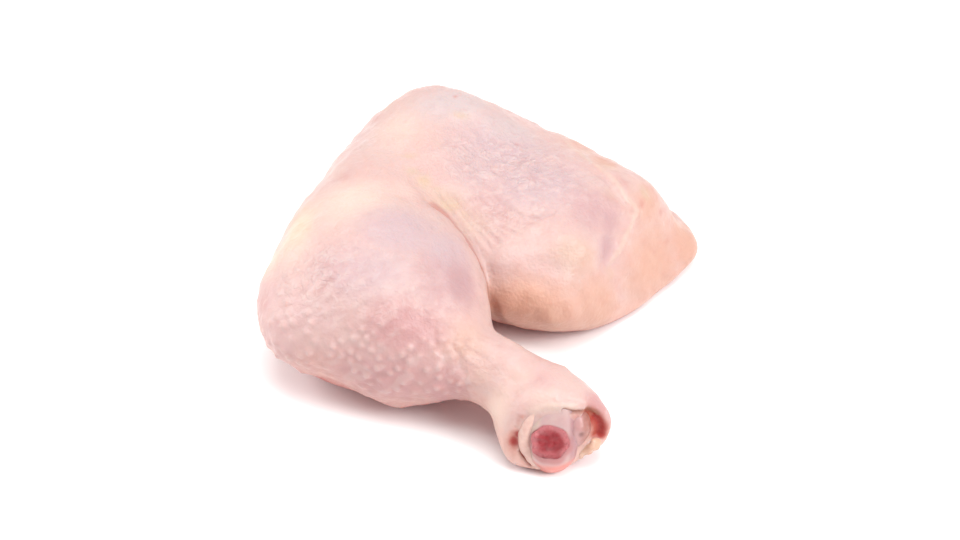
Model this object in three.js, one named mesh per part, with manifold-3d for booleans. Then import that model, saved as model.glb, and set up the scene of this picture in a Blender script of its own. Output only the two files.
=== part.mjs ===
// A raw whole chicken leg: thigh and drumstick in one piece, skin on, lying on its inner side.
// Millimetres, +Z up. The drumstick points to -Y, the hip end of the thigh to +X.
// The leg rests on z = 0, and the middle of its footprint is the origin.
//
// The skin follows a distance field: each muscle is an ellipsoid or a tapered rod, and the
// muscles run into each other as flesh does, widely at the knee and tightly in the crotch
// between calf and thigh. A capsule is drawn around the leg's bent centre line, and each of
// its vertices moves outwards until it meets that skin.

import * as THREE from "three";
import { mergeVertices } from "three/addons/utils/BufferGeometryUtils.js";
import Module from "manifold-3d";

const wasm = await Module();
wasm.setup();

// ---- Driving dimensions ----

const GAP = 0.3; // between two pieces that lie against each other

// Muscles as ellipsoids: middle, half sizes, and the turn of the long axis about Z in degrees.
const THIGH = { at: [6.9, 26.7, 17.3], half: [53.1, 35, 19.4], yaw: -38 };
const THIGH_HEAD = { at: [-9.6, 49.7, 20.6], half: [22.1, 16.3, 22.7], yaw: -28 };
const INNER_THIGH = { at: [21.3, 9.3, 13.1], half: [24.6, 15.3, 15.3], yaw: -11 };
const RUMP = { at: [39.2, 18.1, 14.1], half: [27.9, 19, 16.9], yaw: -28 };
const HIP_SKIN = { at: [46.6, 29.5, 5], half: [17, 16.5, 6.5], yaw: -18 };
const KNEE = { at: [-30.1, 17.2, 19.3], half: [29.6, 20.5, 21.3], yaw: 56 };
const CALF = { at: [-27.2, -8.5, 21.9], half: [34.5, 26.7, 24], yaw: -57 };
const CALF_SIDE = { at: [-34.4, -15, 22.3], half: [21.8, 28.2, 16.6], yaw: -60 };
const KNUCKLE = { at: [21.1, -52.6, 13.2], half: [14, 8.7, 11.2], yaw: -7 };
const KNUCKLE_LOBE = { at: [15.8, -57, 9], half: [9.4, 5.2, 9.6], yaw: -6 };

// Tapered rods: from one ball to another.
const SHIN = { from: [-16.6, -28.4, 18.8], to: [3.5, -39.6, 18.8], radii: [16.4, 7.6] };
const NECK = { from: [6.6, -39.6, 16.8], to: [15.8, -48.1, 14.9], radii: [9.4, 12.3] };

// How widely neighbouring muscles run into each other.
const WIDE_BLEND = 20; // thigh and knee
const MUSCLE_BLEND = 12; // muscles of one part
const NARROW_BLEND = 6; // neck and knuckle, and calf and thigh near the knee
const CROTCH_BLEND = 2.5; // calf and thigh at the open end of the crotch
const CROTCH_CLOSES = [10, 24]; // between these distances to -X the crotch runs into the knee
const EDGE_ROUNDING = 8; // rim of the slope where the leg was cut from the hip
const CUT_ROUNDING = 2; // skin's rim around the cut knuckle
const TABLE_ROUNDING = 3; // edge of the flesh that lies flat on the table

// Flat cuts: a direction that points out of the leg, and how far along it the cut lies.
const HIP_SLOPE = { out: [0.75, -0.54, 0.37], reach: 35.2 };
const KNUCKLE_CUT = { out: [0.1, -0.985, 0.12], reach: 61.3 };

const TABLE = 0.8; // the flesh settles flat on this height before the leg is moved to z = 0

// The centre line from hip to knuckle, and beside it the line of the open crotch that the rings
// of vertices face. Ring n stands upright on the line between the n-th points of the two.
const CENTRE_LINE = [
  [42, 16, 12],
  [25, 23, 16],
  [8, 27, 18],
  [-9, 27, 19],
  [-23, 17, 20],
  [-28, 2, 21],
  [-26, -13, 21],
  [-16, -27, 19.5],
  [-3, -36, 18],
  [8, -43, 16],
  [18, -52, 13.5],
];
const CROTCH_LINE = [
  [62, -18],
  [32, -32],
  [13, -26],
  [8, -17],
  [8, -17],
  [8, -17],
  [8, -17],
  [9, -17],
  [12, -17],
  [20, -26],
  [30, -35],
];
const RAY_FLATNESS = 0.6; // rays lean towards the level, as the leg is wider than it is high
const RADIAL_SEGMENTS = 38;
const LENGTH_SEGMENTS = 54;
const CAP_SEGMENTS = 8;

// The shin bone has a cartilage cap in the knuckle, and behind the cap a shaft to the knee.
const CAP = { at: [19.2, -54.7, 11.2], half: [8, 9, 12.8], segments: 24 };
const SHAFT = { from: [18, -52, 13], to: [-22, -17, 23], radius: 4, segments: 16 };

// The cap is sliced flat, and the slice shows the red marrow in its middle.
const SLICE = { out: [0.02, -0.93, 0.37], reach: 62.8 };
const MARROW = { at: [18.4, -61.3, 14.1], half: [4.8, 3.4, 4.7], segments: 20 };
const MARROW_RECESS = 0.4;

// A tendon lies along the left edge of the cap and passes through these points.
const TENDON = {
  path: [
    [13.4, -58.3, 20.8],
    [12.1, -59.1, 17.6],
    [11.5, -59.7, 14],
    [11.7, -60.1, 10.6],
    [13, -60.4, 6.9],
    [14.8, -60.5, 3.2],
  ],
  radius: 1.3,
};

// Meat and fat show between the cap and the skin on the right.
const CUT_MEAT = { at: [26.6, -55.1, 14.6], half: [3.8, 4.9, 6], segments: 16 };
const CUT_FAT = [
  { at: [26.6, -57.2, 6], half: [2.1, 2.1, 2.1], segments: 12 },
  { at: [27.8, -57, 8], half: [2.6, 2.6, 2.8], segments: 12 },
  { at: [30.6, -56.4, 9.2], half: [2, 2, 2], segments: 12 },
];

// ---- Distance field ----

// Smallest of two distances, with a rounded valley as wide as blend.
function smoothMin(a, b, blend) {
  const overlap = Math.max(blend - Math.abs(a - b), 0) / blend;
  return Math.min(a, b) - (overlap * overlap * blend) / 4;
}

const smoothMax = (a, b, blend) => -smoothMin(-a, -b, blend);

// Distance to an ellipsoid that is turned about Z: below zero inside.
function ellipsoid(point, { at, half, yaw }) {
  const turn = THREE.MathUtils.degToRad(yaw);
  const x = point.x - at[0];
  const y = point.y - at[1];
  const along = x * Math.cos(turn) + y * Math.sin(turn);
  const across = y * Math.cos(turn) - x * Math.sin(turn);
  const up = point.z - at[2];
  const scaled = Math.hypot(along / half[0], across / half[1], up / half[2]);
  const slope = Math.hypot(along / half[0] ** 2, across / half[1] ** 2, up / half[2] ** 2);
  return (scaled * (scaled - 1)) / Math.max(slope, 1e-9);
}

// Distance to a rod with ball ends of two radii, its side drawn from ball to ball.
function taperedRod(point, { from, to, radii }) {
  const start = new THREE.Vector3(...from);
  const axis = new THREE.Vector3(...to).sub(start);
  const offset = point.clone().sub(start);
  const share = THREE.MathUtils.clamp(offset.dot(axis) / axis.lengthSq(), 0, 1);
  const radius = THREE.MathUtils.lerp(radii[0], radii[1], share);
  return offset.addScaledVector(axis, -share).length() - radius;
}

// Distance past a flat cut.
function flatCut(point, { out, reach }) {
  const length = Math.hypot(...out);
  return (point.x * out[0] + point.y * out[1] + point.z * out[2]) / length - reach;
}

function thighField(point) {
  let skin = smoothMin(ellipsoid(point, THIGH), ellipsoid(point, THIGH_HEAD), MUSCLE_BLEND);
  skin = smoothMin(skin, ellipsoid(point, INNER_THIGH), MUSCLE_BLEND);
  skin = smoothMin(skin, ellipsoid(point, RUMP), MUSCLE_BLEND);
  skin = smoothMax(skin, flatCut(point, HIP_SLOPE), EDGE_ROUNDING);
  return smoothMin(skin, ellipsoid(point, HIP_SKIN), NARROW_BLEND);
}

function drumstickField(point) {
  let ankle = smoothMin(ellipsoid(point, KNUCKLE), ellipsoid(point, KNUCKLE_LOBE), NARROW_BLEND);
  ankle = smoothMin(ankle, taperedRod(point, NECK), NARROW_BLEND);
  ankle = smoothMax(ankle, flatCut(point, KNUCKLE_CUT), CUT_ROUNDING);
  const calf = smoothMin(ellipsoid(point, CALF), ellipsoid(point, CALF_SIDE), MUSCLE_BLEND);
  const leg = smoothMin(calf, taperedRod(point, SHIN), MUSCLE_BLEND);
  return smoothMin(leg, ankle, NARROW_BLEND);
}

function legField(point) {
  const upper = smoothMin(thighField(point), ellipsoid(point, KNEE), WIDE_BLEND);
  const nearKnee = THREE.MathUtils.smoothstep(-point.x, ...CROTCH_CLOSES);
  const blend = THREE.MathUtils.lerp(CROTCH_BLEND, NARROW_BLEND, nearKnee);
  const skin = smoothMin(upper, drumstickField(point), blend);
  return smoothMax(skin, TABLE - point.z, TABLE_ROUNDING);
}

// ---- The flesh ----

const curveThrough = (points) =>
  new THREE.CatmullRomCurve3(points.map(([x, y, z = 0]) => new THREE.Vector3(x, y, z)));

const TOLERANCE = 0.02; // between a vertex and the skin

// Where a ray from inside the leg meets its skin. The field can overstate a distance, so each
// step goes only part of the way.
function meetSkin(start, direction) {
  const MOST_STEPS = 200;
  const LONGEST_STEP = 4;
  const PART_OF_WAY = 0.7;
  const point = start.clone();
  for (let step = 0; step < MOST_STEPS; step += 1) {
    const depth = -legField(point);
    if (Math.abs(depth) < TOLERANCE) {
      break;
    }
    const stride = THREE.MathUtils.clamp(PART_OF_WAY * depth, -LONGEST_STEP, LONGEST_STEP);
    point.addScaledVector(direction, stride);
  }
  return point;
}

// A capsule that is bent along the centre line and swells until it fills the skin. Its axis and
// its radius are both 1 long, and all that counts is which way each vertex lies from the axis.
function fleshGeometry() {
  const centreLine = curveThrough(CENTRE_LINE);
  const crotchLine = curveThrough(CROTCH_LINE);
  const segments = [CAP_SEGMENTS, RADIAL_SEGMENTS, LENGTH_SEGMENTS];
  const capsule = new THREE.CapsuleGeometry(1, 1, ...segments);
  const position = capsule.getAttribute("position");
  for (let index = 0; index < position.count; index += 1) {
    const height = position.getY(index);
    const onAxis = THREE.MathUtils.clamp(height, -0.5, 0.5);
    const share = onAxis + 0.5;
    const centre = centreLine.getPoint(share);
    const inwards = crotchLine.getPoint(share).sub(centre).setZ(0).normalize();
    const down = new THREE.Vector3(0, 0, -1);
    const forwards = down.clone().cross(inwards);
    const direction = new THREE.Vector3()
      .addScaledVector(inwards, position.getX(index))
      .addScaledVector(forwards, height - onAxis)
      .addScaledVector(down, RAY_FLATNESS * position.getZ(index))
      .normalize();
    const skin = meetSkin(centre, direction);
    const flat = skin.z < TABLE + 3 * TOLERANCE;
    position.setXYZ(index, skin.x, skin.y, flat ? TABLE : skin.z);
  }
  return capsule;
}

// ---- Solids ----

const SAME_POINT = 1e-4; // vertices closer than this are one

function solidFrom(geometry) {
  const bare = geometry.clone();
  bare.deleteAttribute("normal");
  bare.deleteAttribute("uv");
  const merged = mergeVertices(bare, SAME_POINT);
  return new wasm.Manifold(
    new wasm.Mesh({
      numProp: 3,
      vertProperties: new Float32Array(merged.getAttribute("position").array),
      triVerts: new Uint32Array(merged.index.array),
    }),
  );
}

function geometryFrom(solid) {
  const mesh = solid.getMesh();
  const geometry = new THREE.BufferGeometry();
  geometry.setAttribute("position", new THREE.BufferAttribute(mesh.vertProperties, 3));
  geometry.setIndex(new THREE.BufferAttribute(mesh.triVerts, 1));
  geometry.computeVertexNormals();
  return geometry;
}

// Moves a shape that stands on the origin along +Y to a point, with its top towards a direction.
function placeOnAxis(geometry, start, direction) {
  const top = new THREE.Vector3(...direction).normalize();
  const turn = new THREE.Quaternion().setFromUnitVectors(new THREE.Vector3(0, 1, 0), top);
  return geometry.applyQuaternion(turn).translate(...start);
}

// An ellipsoid that is bigger by grow all over.
function ovalSolid({ at, half, segments }, grow) {
  const oval = new THREE.SphereGeometry(1, segments, segments / 2);
  return solidFrom(oval.scale(...half.map((size) => size + grow)).translate(...at));
}

// A rod with ball ends, bigger by grow all over.
function rodSolid({ from, to, radius, segments }, grow) {
  const axis = new THREE.Vector3(...to).sub(new THREE.Vector3(...from));
  const length = axis.length();
  const rod = new THREE.CapsuleGeometry(radius + grow, length, segments / 4, segments);
  return solidFrom(placeOnAxis(rod.translate(0, length / 2, 0), from, axis));
}

// A strand of round section along a curve.
function strandSolid({ path, radius }, grow) {
  const STEPS = 12;
  const SECTION_SEGMENTS = 8;
  const section = new THREE.Shape().absarc(0, 0, radius + grow, 0, 2 * Math.PI);
  return solidFrom(
    new THREE.ExtrudeGeometry(section, {
      extrudePath: curveThrough(path),
      steps: STEPS,
      curveSegments: SECTION_SEGMENTS,
    }),
  );
}

// All that lies past a flat cut, as a large block.
function beyondCut({ out, reach }) {
  const SIZE = 200;
  const block = new THREE.BoxGeometry(SIZE, SIZE, SIZE).translate(0, SIZE / 2, 0);
  const foot = new THREE.Vector3(...out).setLength(reach);
  return solidFrom(placeOnAxis(block, foot.toArray(), out));
}

// ---- Assembly ----

const boneShape = (grow) => ovalSolid(CAP, grow).add(rodSolid(SHAFT, grow));
const fatShape = (grow) =>
  CUT_FAT.map((lobule) => ovalSolid(lobule, grow)).reduce((fat, lobule) => fat.add(lobule));

const bone = boneShape(0)
  .subtract(beyondCut(SLICE))
  .subtract(beyondCut({ out: [0, 0, -1], reach: -TABLE }))
  .subtract(ovalSolid(MARROW, GAP))
  .subtract(strandSolid(TENDON, GAP));
const marrowSlice = { out: SLICE.out, reach: SLICE.reach - MARROW_RECESS };
const marrow = ovalSolid(MARROW, 0).subtract(beyondCut(marrowSlice));
const tendon = strandSolid(TENDON, 0);
const cutMeat = ovalSolid(CUT_MEAT, 0).subtract(boneShape(GAP));
const cutFat = fatShape(0).subtract(boneShape(GAP)).subtract(ovalSolid(CUT_MEAT, GAP));
const flesh = solidFrom(fleshGeometry())
  .subtract(boneShape(GAP))
  .subtract(strandSolid(TENDON, GAP))
  .subtract(ovalSolid(CUT_MEAT, GAP))
  .subtract(fatShape(GAP));

const leg = new THREE.Group();
const placed = new THREE.Group();
leg.add(placed);

function addPiece(name, solid, color, roughness) {
  const material = new THREE.MeshStandardMaterial({ color, roughness, metalness: 0 });
  const mesh = new THREE.Mesh(geometryFrom(solid), material);
  mesh.name = name;
  placed.add(mesh);
}

addPiece("skin_and_meat", flesh, "#f2d3c8", 0.45);
addPiece("shin_bone", bone, "#e6cfd0", 0.35);
addPiece("bone_marrow", marrow, "#a8324a", 0.5);
addPiece("tendon", tendon, "#f6e4da", 0.4);
addPiece("cut_meat", cutMeat, "#dcaeb0", 0.45);
addPiece("cut_fat", cutFat, "#f4d4b4", 0.45);

const bounds = new THREE.Box3().setFromObject(placed);
const middle = bounds.getCenter(new THREE.Vector3());
placed.position.set(-middle.x, -middle.y, -bounds.min.z);

export default leg;
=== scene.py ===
"""A raw whole chicken leg, thigh and drumstick with the skin on, lying on its inner side.

The skin follows a distance field of muscles, in the leg's own millimetres: X to the hip end, -Y to
the knuckle, Z up. Every piece is contoured from such a field on a grid, drawn onto the field
exactly, given its folds and lumps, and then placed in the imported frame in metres.
"""

import math

import bmesh
import bpy
import numpy as np
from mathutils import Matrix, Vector


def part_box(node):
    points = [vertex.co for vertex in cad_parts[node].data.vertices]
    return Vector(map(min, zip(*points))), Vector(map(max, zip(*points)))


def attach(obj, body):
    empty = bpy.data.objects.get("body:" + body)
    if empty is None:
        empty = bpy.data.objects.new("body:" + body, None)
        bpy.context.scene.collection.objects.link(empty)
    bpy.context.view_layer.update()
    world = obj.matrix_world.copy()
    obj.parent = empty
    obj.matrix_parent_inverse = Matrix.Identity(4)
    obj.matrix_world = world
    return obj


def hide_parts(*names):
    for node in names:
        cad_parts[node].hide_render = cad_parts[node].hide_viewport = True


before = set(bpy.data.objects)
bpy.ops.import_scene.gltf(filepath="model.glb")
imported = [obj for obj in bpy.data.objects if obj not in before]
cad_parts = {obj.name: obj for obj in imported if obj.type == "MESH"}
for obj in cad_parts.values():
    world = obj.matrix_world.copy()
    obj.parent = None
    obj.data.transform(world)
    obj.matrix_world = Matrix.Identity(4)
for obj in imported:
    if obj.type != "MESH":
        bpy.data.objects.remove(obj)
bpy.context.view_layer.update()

MM = 0.001

# ---- The muscles, as in the CAD model ----

THIGH = dict(at=(6.9, 26.7, 17.3), half=(53.1, 35, 19.4), yaw=-38)
THIGH_HEAD = dict(at=(-9.6, 49.7, 20.6), half=(22.1, 16.3, 22.7), yaw=-28)
INNER_THIGH = dict(at=(21.3, 9.3, 13.1), half=(24.6, 15.3, 15.3), yaw=-11)
RUMP = dict(at=(39.2, 18.1, 14.1), half=(27.9, 19, 16.9), yaw=-28)
HIP_SKIN = dict(at=(46.6, 29.5, 5), half=(17, 16.5, 6.5), yaw=-18)
KNEE = dict(at=(-30.1, 17.2, 19.3), half=(29.6, 20.5, 21.3), yaw=56)
CALF = dict(at=(-27.2, -8.5, 21.9), half=(34.5, 26.7, 24), yaw=-57)
CALF_SIDE = dict(at=(-34.4, -15, 22.3), half=(21.8, 28.2, 16.6), yaw=-60)
KNUCKLE = dict(at=(21.1, -52.6, 13.2), half=(14, 8.7, 11.2), yaw=-7)
KNUCKLE_LOBE = dict(at=(15.8, -57, 9), half=(9.4, 5.2, 9.6), yaw=-6)
SHIN = dict(start=(-16.6, -28.4, 18.8), end=(3.5, -39.6, 18.8), radii=(16.4, 7.6))
NECK = dict(start=(6.6, -39.6, 16.8), end=(15.8, -48.1, 14.9), radii=(9.4, 12.3))

WIDE_BLEND = 20
MUSCLE_BLEND = 12
NARROW_BLEND = 6
CROTCH_BLEND = 2.5
CROTCH_CLOSES = (10, 24)
EDGE_ROUNDING = 8
CUT_ROUNDING = 2
TABLE_ROUNDING = 3
HIP_SLOPE = dict(out=(0.75, -0.54, 0.37), reach=35.2)
KNUCKLE_CUT = dict(out=(0.1, -0.985, 0.12), reach=61.3)
TABLE = 0.8

# The knuckle's cartilage cap is sliced flat, and the slice shows the marrow. The skin runs a
# little way up the cap's sides.
CAP = dict(at=(19.2, -54.7, 11.2), half=(8, 9, 12.8))
SHAFT = dict(start=(18, -52, 13), end=(-22, -17, 23), radii=(4, 4))
SLICE = dict(out=(0.02, -0.93, 0.37), reach=62.8)
SLICE_ROUNDING = 2.5
CAP_COVER = 0.9
CAP_BLEND = 3.2
MARROW = dict(at=(18.4, -61.3, 14.1), half=(4.8, 3.4, 4.7))


def frame_shift():
    """From the leg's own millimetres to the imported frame's. The far side and the lowest point of
    the marrow are whole in the CAD model, and its two sides are alike, so its box tells."""
    low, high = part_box("bone_marrow")
    at, half = MARROW["at"], MARROW["half"]
    own = np.array((at[0], at[1] + half[1], at[2] - half[2]))
    packed = np.array(((low[0] + high[0]) / 2, high[1], low[2])) / MM
    return packed - own


SHIFT = frame_shift()


# ---- Distance fields: points are rows of an array, in millimetres ----


def smooth_min(a, b, blend):
    overlap = np.maximum(blend - np.abs(a - b), 0) / blend
    return np.minimum(a, b) - overlap * overlap * blend / 4


def smooth_max(a, b, blend):
    return -smooth_min(-a, -b, blend)


def smooth_step(value, low, high):
    share = np.clip((value - low) / (high - low), 0, 1)
    return share * share * (3 - 2 * share)


def ellipsoid(points, at, half, yaw=0.0):
    turn = math.radians(yaw)
    x, y, z = (points - at).T
    along = x * math.cos(turn) + y * math.sin(turn)
    across = y * math.cos(turn) - x * math.sin(turn)
    own = np.stack([along, across, z], axis=1) / half
    scaled = np.sqrt((own**2).sum(axis=1))
    slope = np.sqrt(((own / half) ** 2).sum(axis=1))
    return scaled * (scaled - 1) / np.maximum(slope, 1e-9)


def tapered_rod(points, start, end, radii):
    axis = np.subtract(end, start)
    offset = points - start
    share = np.clip(offset @ axis / (axis @ axis), 0, 1)
    radius = radii[0] + (radii[1] - radii[0]) * share
    return np.sqrt(((offset - share[:, None] * axis) ** 2).sum(axis=1)) - radius


def flat_cut(points, out, reach):
    return points @ (np.array(out) / np.linalg.norm(out)) - reach


def cap_field(points):
    return smooth_max(ellipsoid(points, **CAP), flat_cut(points, **SLICE), SLICE_ROUNDING)


def drumstick_field(points):
    ankle = smooth_min(ellipsoid(points, **KNUCKLE), ellipsoid(points, **KNUCKLE_LOBE), NARROW_BLEND)
    ankle = smooth_min(ankle, tapered_rod(points, **NECK), NARROW_BLEND)
    end = smooth_max(ankle, flat_cut(points, **KNUCKLE_CUT), CUT_ROUNDING)
    end = smooth_min(end, cap_field(points) + CAP_COVER, CAP_BLEND)
    calf = smooth_min(ellipsoid(points, **CALF), ellipsoid(points, **CALF_SIDE), MUSCLE_BLEND)
    leg = smooth_min(calf, tapered_rod(points, **SHIN), MUSCLE_BLEND)
    return smooth_min(leg, end, NARROW_BLEND)


def thigh_field(points):
    skin = smooth_min(ellipsoid(points, **THIGH), ellipsoid(points, **THIGH_HEAD), MUSCLE_BLEND)
    skin = smooth_min(skin, ellipsoid(points, **INNER_THIGH), MUSCLE_BLEND)
    skin = smooth_min(skin, ellipsoid(points, **RUMP), MUSCLE_BLEND)
    skin = smooth_max(skin, flat_cut(points, **HIP_SLOPE), EDGE_ROUNDING)
    return smooth_min(skin, ellipsoid(points, **HIP_SKIN), NARROW_BLEND)


def leg_field(points):
    upper = smooth_min(thigh_field(points), ellipsoid(points, **KNEE), WIDE_BLEND)
    near_knee = smooth_step(-points[:, 0], *CROTCH_CLOSES)
    blend = CROTCH_BLEND + (NARROW_BLEND - CROTCH_BLEND) * near_knee
    skin = smooth_min(upper, drumstick_field(points), blend)
    return smooth_max(skin, TABLE - points[:, 2], TABLE_ROUNDING)


# ---- Surfaces from fields ----


def field_slope(field, points, reach=0.05):
    slope = np.empty_like(points)
    for axis in range(3):
        step = np.zeros(3)
        step[axis] = reach
        slope[:, axis] = (field(points + step) - field(points - step)) / (2 * reach)
    return slope


def draw_onto(field, points, rounds=4, longest=0.6):
    """Moves points along the field's slope until they lie on its surface."""
    for _ in range(rounds):
        slope = field_slope(field, points)
        steep = np.maximum((slope**2).sum(axis=1), 0.05)
        stride = slope * (field(points) / steep)[:, None]
        length = np.linalg.norm(stride, axis=1)
        points = points - stride * np.minimum(1, longest / np.maximum(length, 1e-9))[:, None]
    return points


def grid_values(field, axes):
    """The field on a grid, one slab at a time to keep the arrays small."""
    ys, zs = np.meshgrid(axes[1], axes[2], indexing="ij")
    values = np.empty([len(axis) for axis in axes])
    for index, x in enumerate(axes[0]):
        slab = np.stack([np.full(ys.size, x), ys.ravel(), zs.ravel()], axis=1)
        values[index] = field(slab).reshape(ys.shape)
    return values


def contour(field, low, high, step):
    """Points and quads of the closed surface where the field is zero: one point for each grid
    cell that the surface passes through, at the middle of its crossings of the cell's edges."""
    axes = [np.arange(a, b + step, step) for a, b in zip(low, high)]
    values = grid_values(field, axes)
    inside = values < 0
    full = sum(
        inside[i : i - 1 or None, j : j - 1 or None, k : k - 1 or None].astype(int)
        for i, j, k in np.ndindex(2, 2, 2)
    )
    mixed = (full > 0) & (full < 8)
    cells = np.argwhere(mixed)
    number = np.full(mixed.shape, -1)
    number[mixed] = np.arange(len(cells))
    total = np.zeros((len(cells), 3))
    count = np.zeros(len(cells))
    unit = np.eye(3, dtype=int)
    for axis in range(3):
        one, two = unit[(axis + 1) % 3], unit[(axis + 2) % 3]
        for a, b in np.ndindex(2, 2):
            start = cells + a * one + b * two
            first = values[tuple(start.T)]
            last = values[tuple((start + unit[axis]).T)]
            crossed = (first < 0) != (last < 0)
            share = first[crossed] / (first[crossed] - last[crossed])
            total[crossed] += start[crossed] + share[:, None] * unit[axis]
            count += crossed
    points = np.array([axis[0] for axis in axes]) + step * total / count[:, None]
    quads = []
    for axis in range(3):
        one, two = unit[(axis + 1) % 3], unit[(axis + 2) % 3]
        length = inside.shape[axis]
        lower = np.take(inside, range(length - 1), axis)
        upper = np.take(inside, range(1, length), axis)
        edges = np.argwhere(lower != upper)
        around = [edges, edges - one, edges - one - two, edges - two]
        quad = np.stack([number[tuple(cell.T)] for cell in around], axis=1)
        leaving = lower[tuple(edges.T)]
        quads.append(np.where(leaving[:, None], quad, quad[:, ::-1]))
    return points, np.concatenate(quads)


def even_out(edges, points, field, rounds):
    """Slides points along the surface towards the middle of their neighbours."""
    for _ in range(rounds):
        total = np.zeros_like(points)
        count = np.zeros(len(points))
        for near, far in ((0, 1), (1, 0)):
            np.add.at(total, edges[:, near], points[edges[:, far]])
            np.add.at(count, edges[:, near], 1)
        points = points + 0.5 * (total / count[:, None] - points)
        points = draw_onto(field, points, rounds=1)
    return draw_onto(field, points, rounds=2)


def mesh_edges(mesh):
    edges = np.empty(len(mesh.edges) * 2, int)
    mesh.edges.foreach_get("vertices", edges)
    return edges.reshape(-1, 2)


def mesh_points(mesh):
    points = np.empty(len(mesh.vertices) * 3)
    mesh.vertices.foreach_get("co", points)
    return points.reshape(-1, 3)


def set_points(mesh, points):
    mesh.vertices.foreach_set("co", points.ravel())
    mesh.update()


def refine(mesh, needed):
    """Splits every face in two each way where needed says so of its middle."""
    editor = bmesh.new()
    editor.from_mesh(mesh)
    middles = np.array([face.calc_center_median() for face in editor.faces])
    chosen = needed(middles)
    edges = {edge for face, wanted in zip(editor.faces, chosen) if wanted for edge in face.edges}
    edges = sorted(edges, key=lambda edge: edge.index)
    bmesh.ops.subdivide_edges(editor, edges=edges, cuts=1, use_grid_fill=True)
    editor.to_mesh(mesh)
    editor.free()


FIRST_ROUNDS = 4  # of evening out, before a mesh is refined


def solid_mesh(name, field, low, high, step, refinements=()):
    """A mesh of the field's surface, which lies between the corners low and high, with a finer
    mesh where each refinement says so."""
    points, quads = contour(field, low, high, step)
    mesh = bpy.data.meshes.new(name)
    mesh.from_pydata(points.tolist(), [], quads.tolist())
    set_points(mesh, even_out(mesh_edges(mesh), mesh_points(mesh), field, FIRST_ROUNDS))
    for needed in refinements:
        refine(mesh, needed)
        set_points(mesh, even_out(mesh_edges(mesh), mesh_points(mesh), field, 1))
    return mesh


# ---- Helpers for folds, lumps and patches ----


def curve_through(places, count=40):
    """Points along a smooth curve through the given places."""
    ends = [2 * np.array(places[0]) - places[1], 2 * np.array(places[-1]) - places[-2]]
    knots = np.array([ends[0], *places, ends[1]], float)
    spans = len(places) - 1
    samples = []
    for at in np.linspace(0, spans - 1e-6, count):
        span = int(at)
        t = at - span
        a, b, c, d = knots[span : span + 4]
        samples.append(
            0.5 * (2 * b + (c - a) * t + (2 * a - 5 * b + 4 * c - d) * t**2)
            + 0.5 * (3 * b - a - 3 * c + d) * t**3
        )
    return np.array(samples)


def nearest_on(curve, points):
    """Distance to a curve, and how far along it the nearest place is, from 0 to 1."""
    closest = np.full(len(points), np.inf)
    share = np.zeros(len(points))
    spans = len(curve) - 1
    for index in range(spans):
        axis = curve[index + 1] - curve[index]
        offset = points - curve[index]
        along = np.clip(offset @ axis / (axis @ axis), 0, 1)
        away = ((offset - along[:, None] * axis) ** 2).sum(axis=1)
        closer = away < closest
        closest[closer] = away[closer]
        share[closer] = (index + along[closer]) / spans
    return np.sqrt(closest), share


def patch(points, at, reach):
    """1 at a place, falling softly to nothing at about twice its reach. Reach may differ by axis."""
    scaled = ((points - at) / reach) ** 2
    return np.exp(-scaled.sum(axis=1))


def most_of(points, patches):
    """The strongest of some patches: place, reach, strength."""
    strengths = [strength * patch(points, at, reach) for at, reach, strength in patches]
    return np.max([np.zeros(len(points)), *strengths], axis=0)


def stroke(points, places, width):
    """1 along a curve on the skin, falling softly to its sides and its ends."""
    curve = draw_onto(leg_field, curve_through(places), longest=3)
    strength = np.zeros(len(points))
    low, high = curve.min(axis=0) - 3 * width, curve.max(axis=0) + 3 * width
    near = np.all((points > low) & (points < high), axis=1)
    distance, share = nearest_on(curve, points[near])
    fade = np.clip(np.sin(math.pi * share) * 2.5, 0, 1)
    strength[near] = fade * np.exp(-((distance / width) ** 2))
    return strength


RIPPLE_WAVES = 28


def ripple(points, wavelength, seed):
    """Smooth random lumps of about unit height, from plane waves in random directions."""
    dice = np.random.RandomState(seed)
    direction = dice.normal(size=(RIPPLE_WAVES, 3))
    direction /= np.linalg.norm(direction, axis=1)[:, None]
    length = wavelength * dice.uniform(0.7, 1.4, RIPPLE_WAVES)
    phase = dice.uniform(0, 2 * math.pi, RIPPLE_WAVES)
    angle = points @ (direction / length[:, None] * 2 * math.pi).T + phase
    return np.cos(angle).sum(axis=1) * math.sqrt(2 / RIPPLE_WAVES)


def combed(points, direction, stretch):
    """The points, pressed together along a direction, so that what is drawn from them runs that
    way."""
    along = np.array(direction) / np.linalg.norm(direction)
    return points - (1 - 1 / stretch) * (points @ along)[:, None] * along


CREASE_SHARPNESS = 0.35


def crease_net(points, wavelength, seed):
    """1 along a net of fine wandering creases, falling to nothing between them."""
    return np.exp(-((ripple(points, wavelength, seed) / CREASE_SHARPNESS) ** 2))


CRUMPLE = dict(wavelength=8, height=0.55, seeds=(81, 82, 83))


def crumpled(points):
    """The points, each moved a little, so that what is drawn from them comes out uneven."""
    moves = [ripple(points, CRUMPLE["wavelength"], seed) for seed in CRUMPLE["seeds"]]
    return points + CRUMPLE["height"] * np.stack(moves, axis=1)


def between(first, last, count):
    """Rows of places spread evenly from one row to another."""
    first, last = np.array(first, float), np.array(last, float)
    return [first + (last - first) * share for share in np.linspace(0, 1, count)]


# ---- Folds and lumps of the skin ----

MESH_STEP = 1.2


def on_cut(x, z):
    """The place on the knuckle's cut plane that is at x and z."""
    out = np.array(KNUCKLE_CUT["out"])
    y = (KNUCKLE_CUT["reach"] * np.linalg.norm(out) - out[0] * x - out[2] * z) / out[1]
    return (x, y, z)


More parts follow.
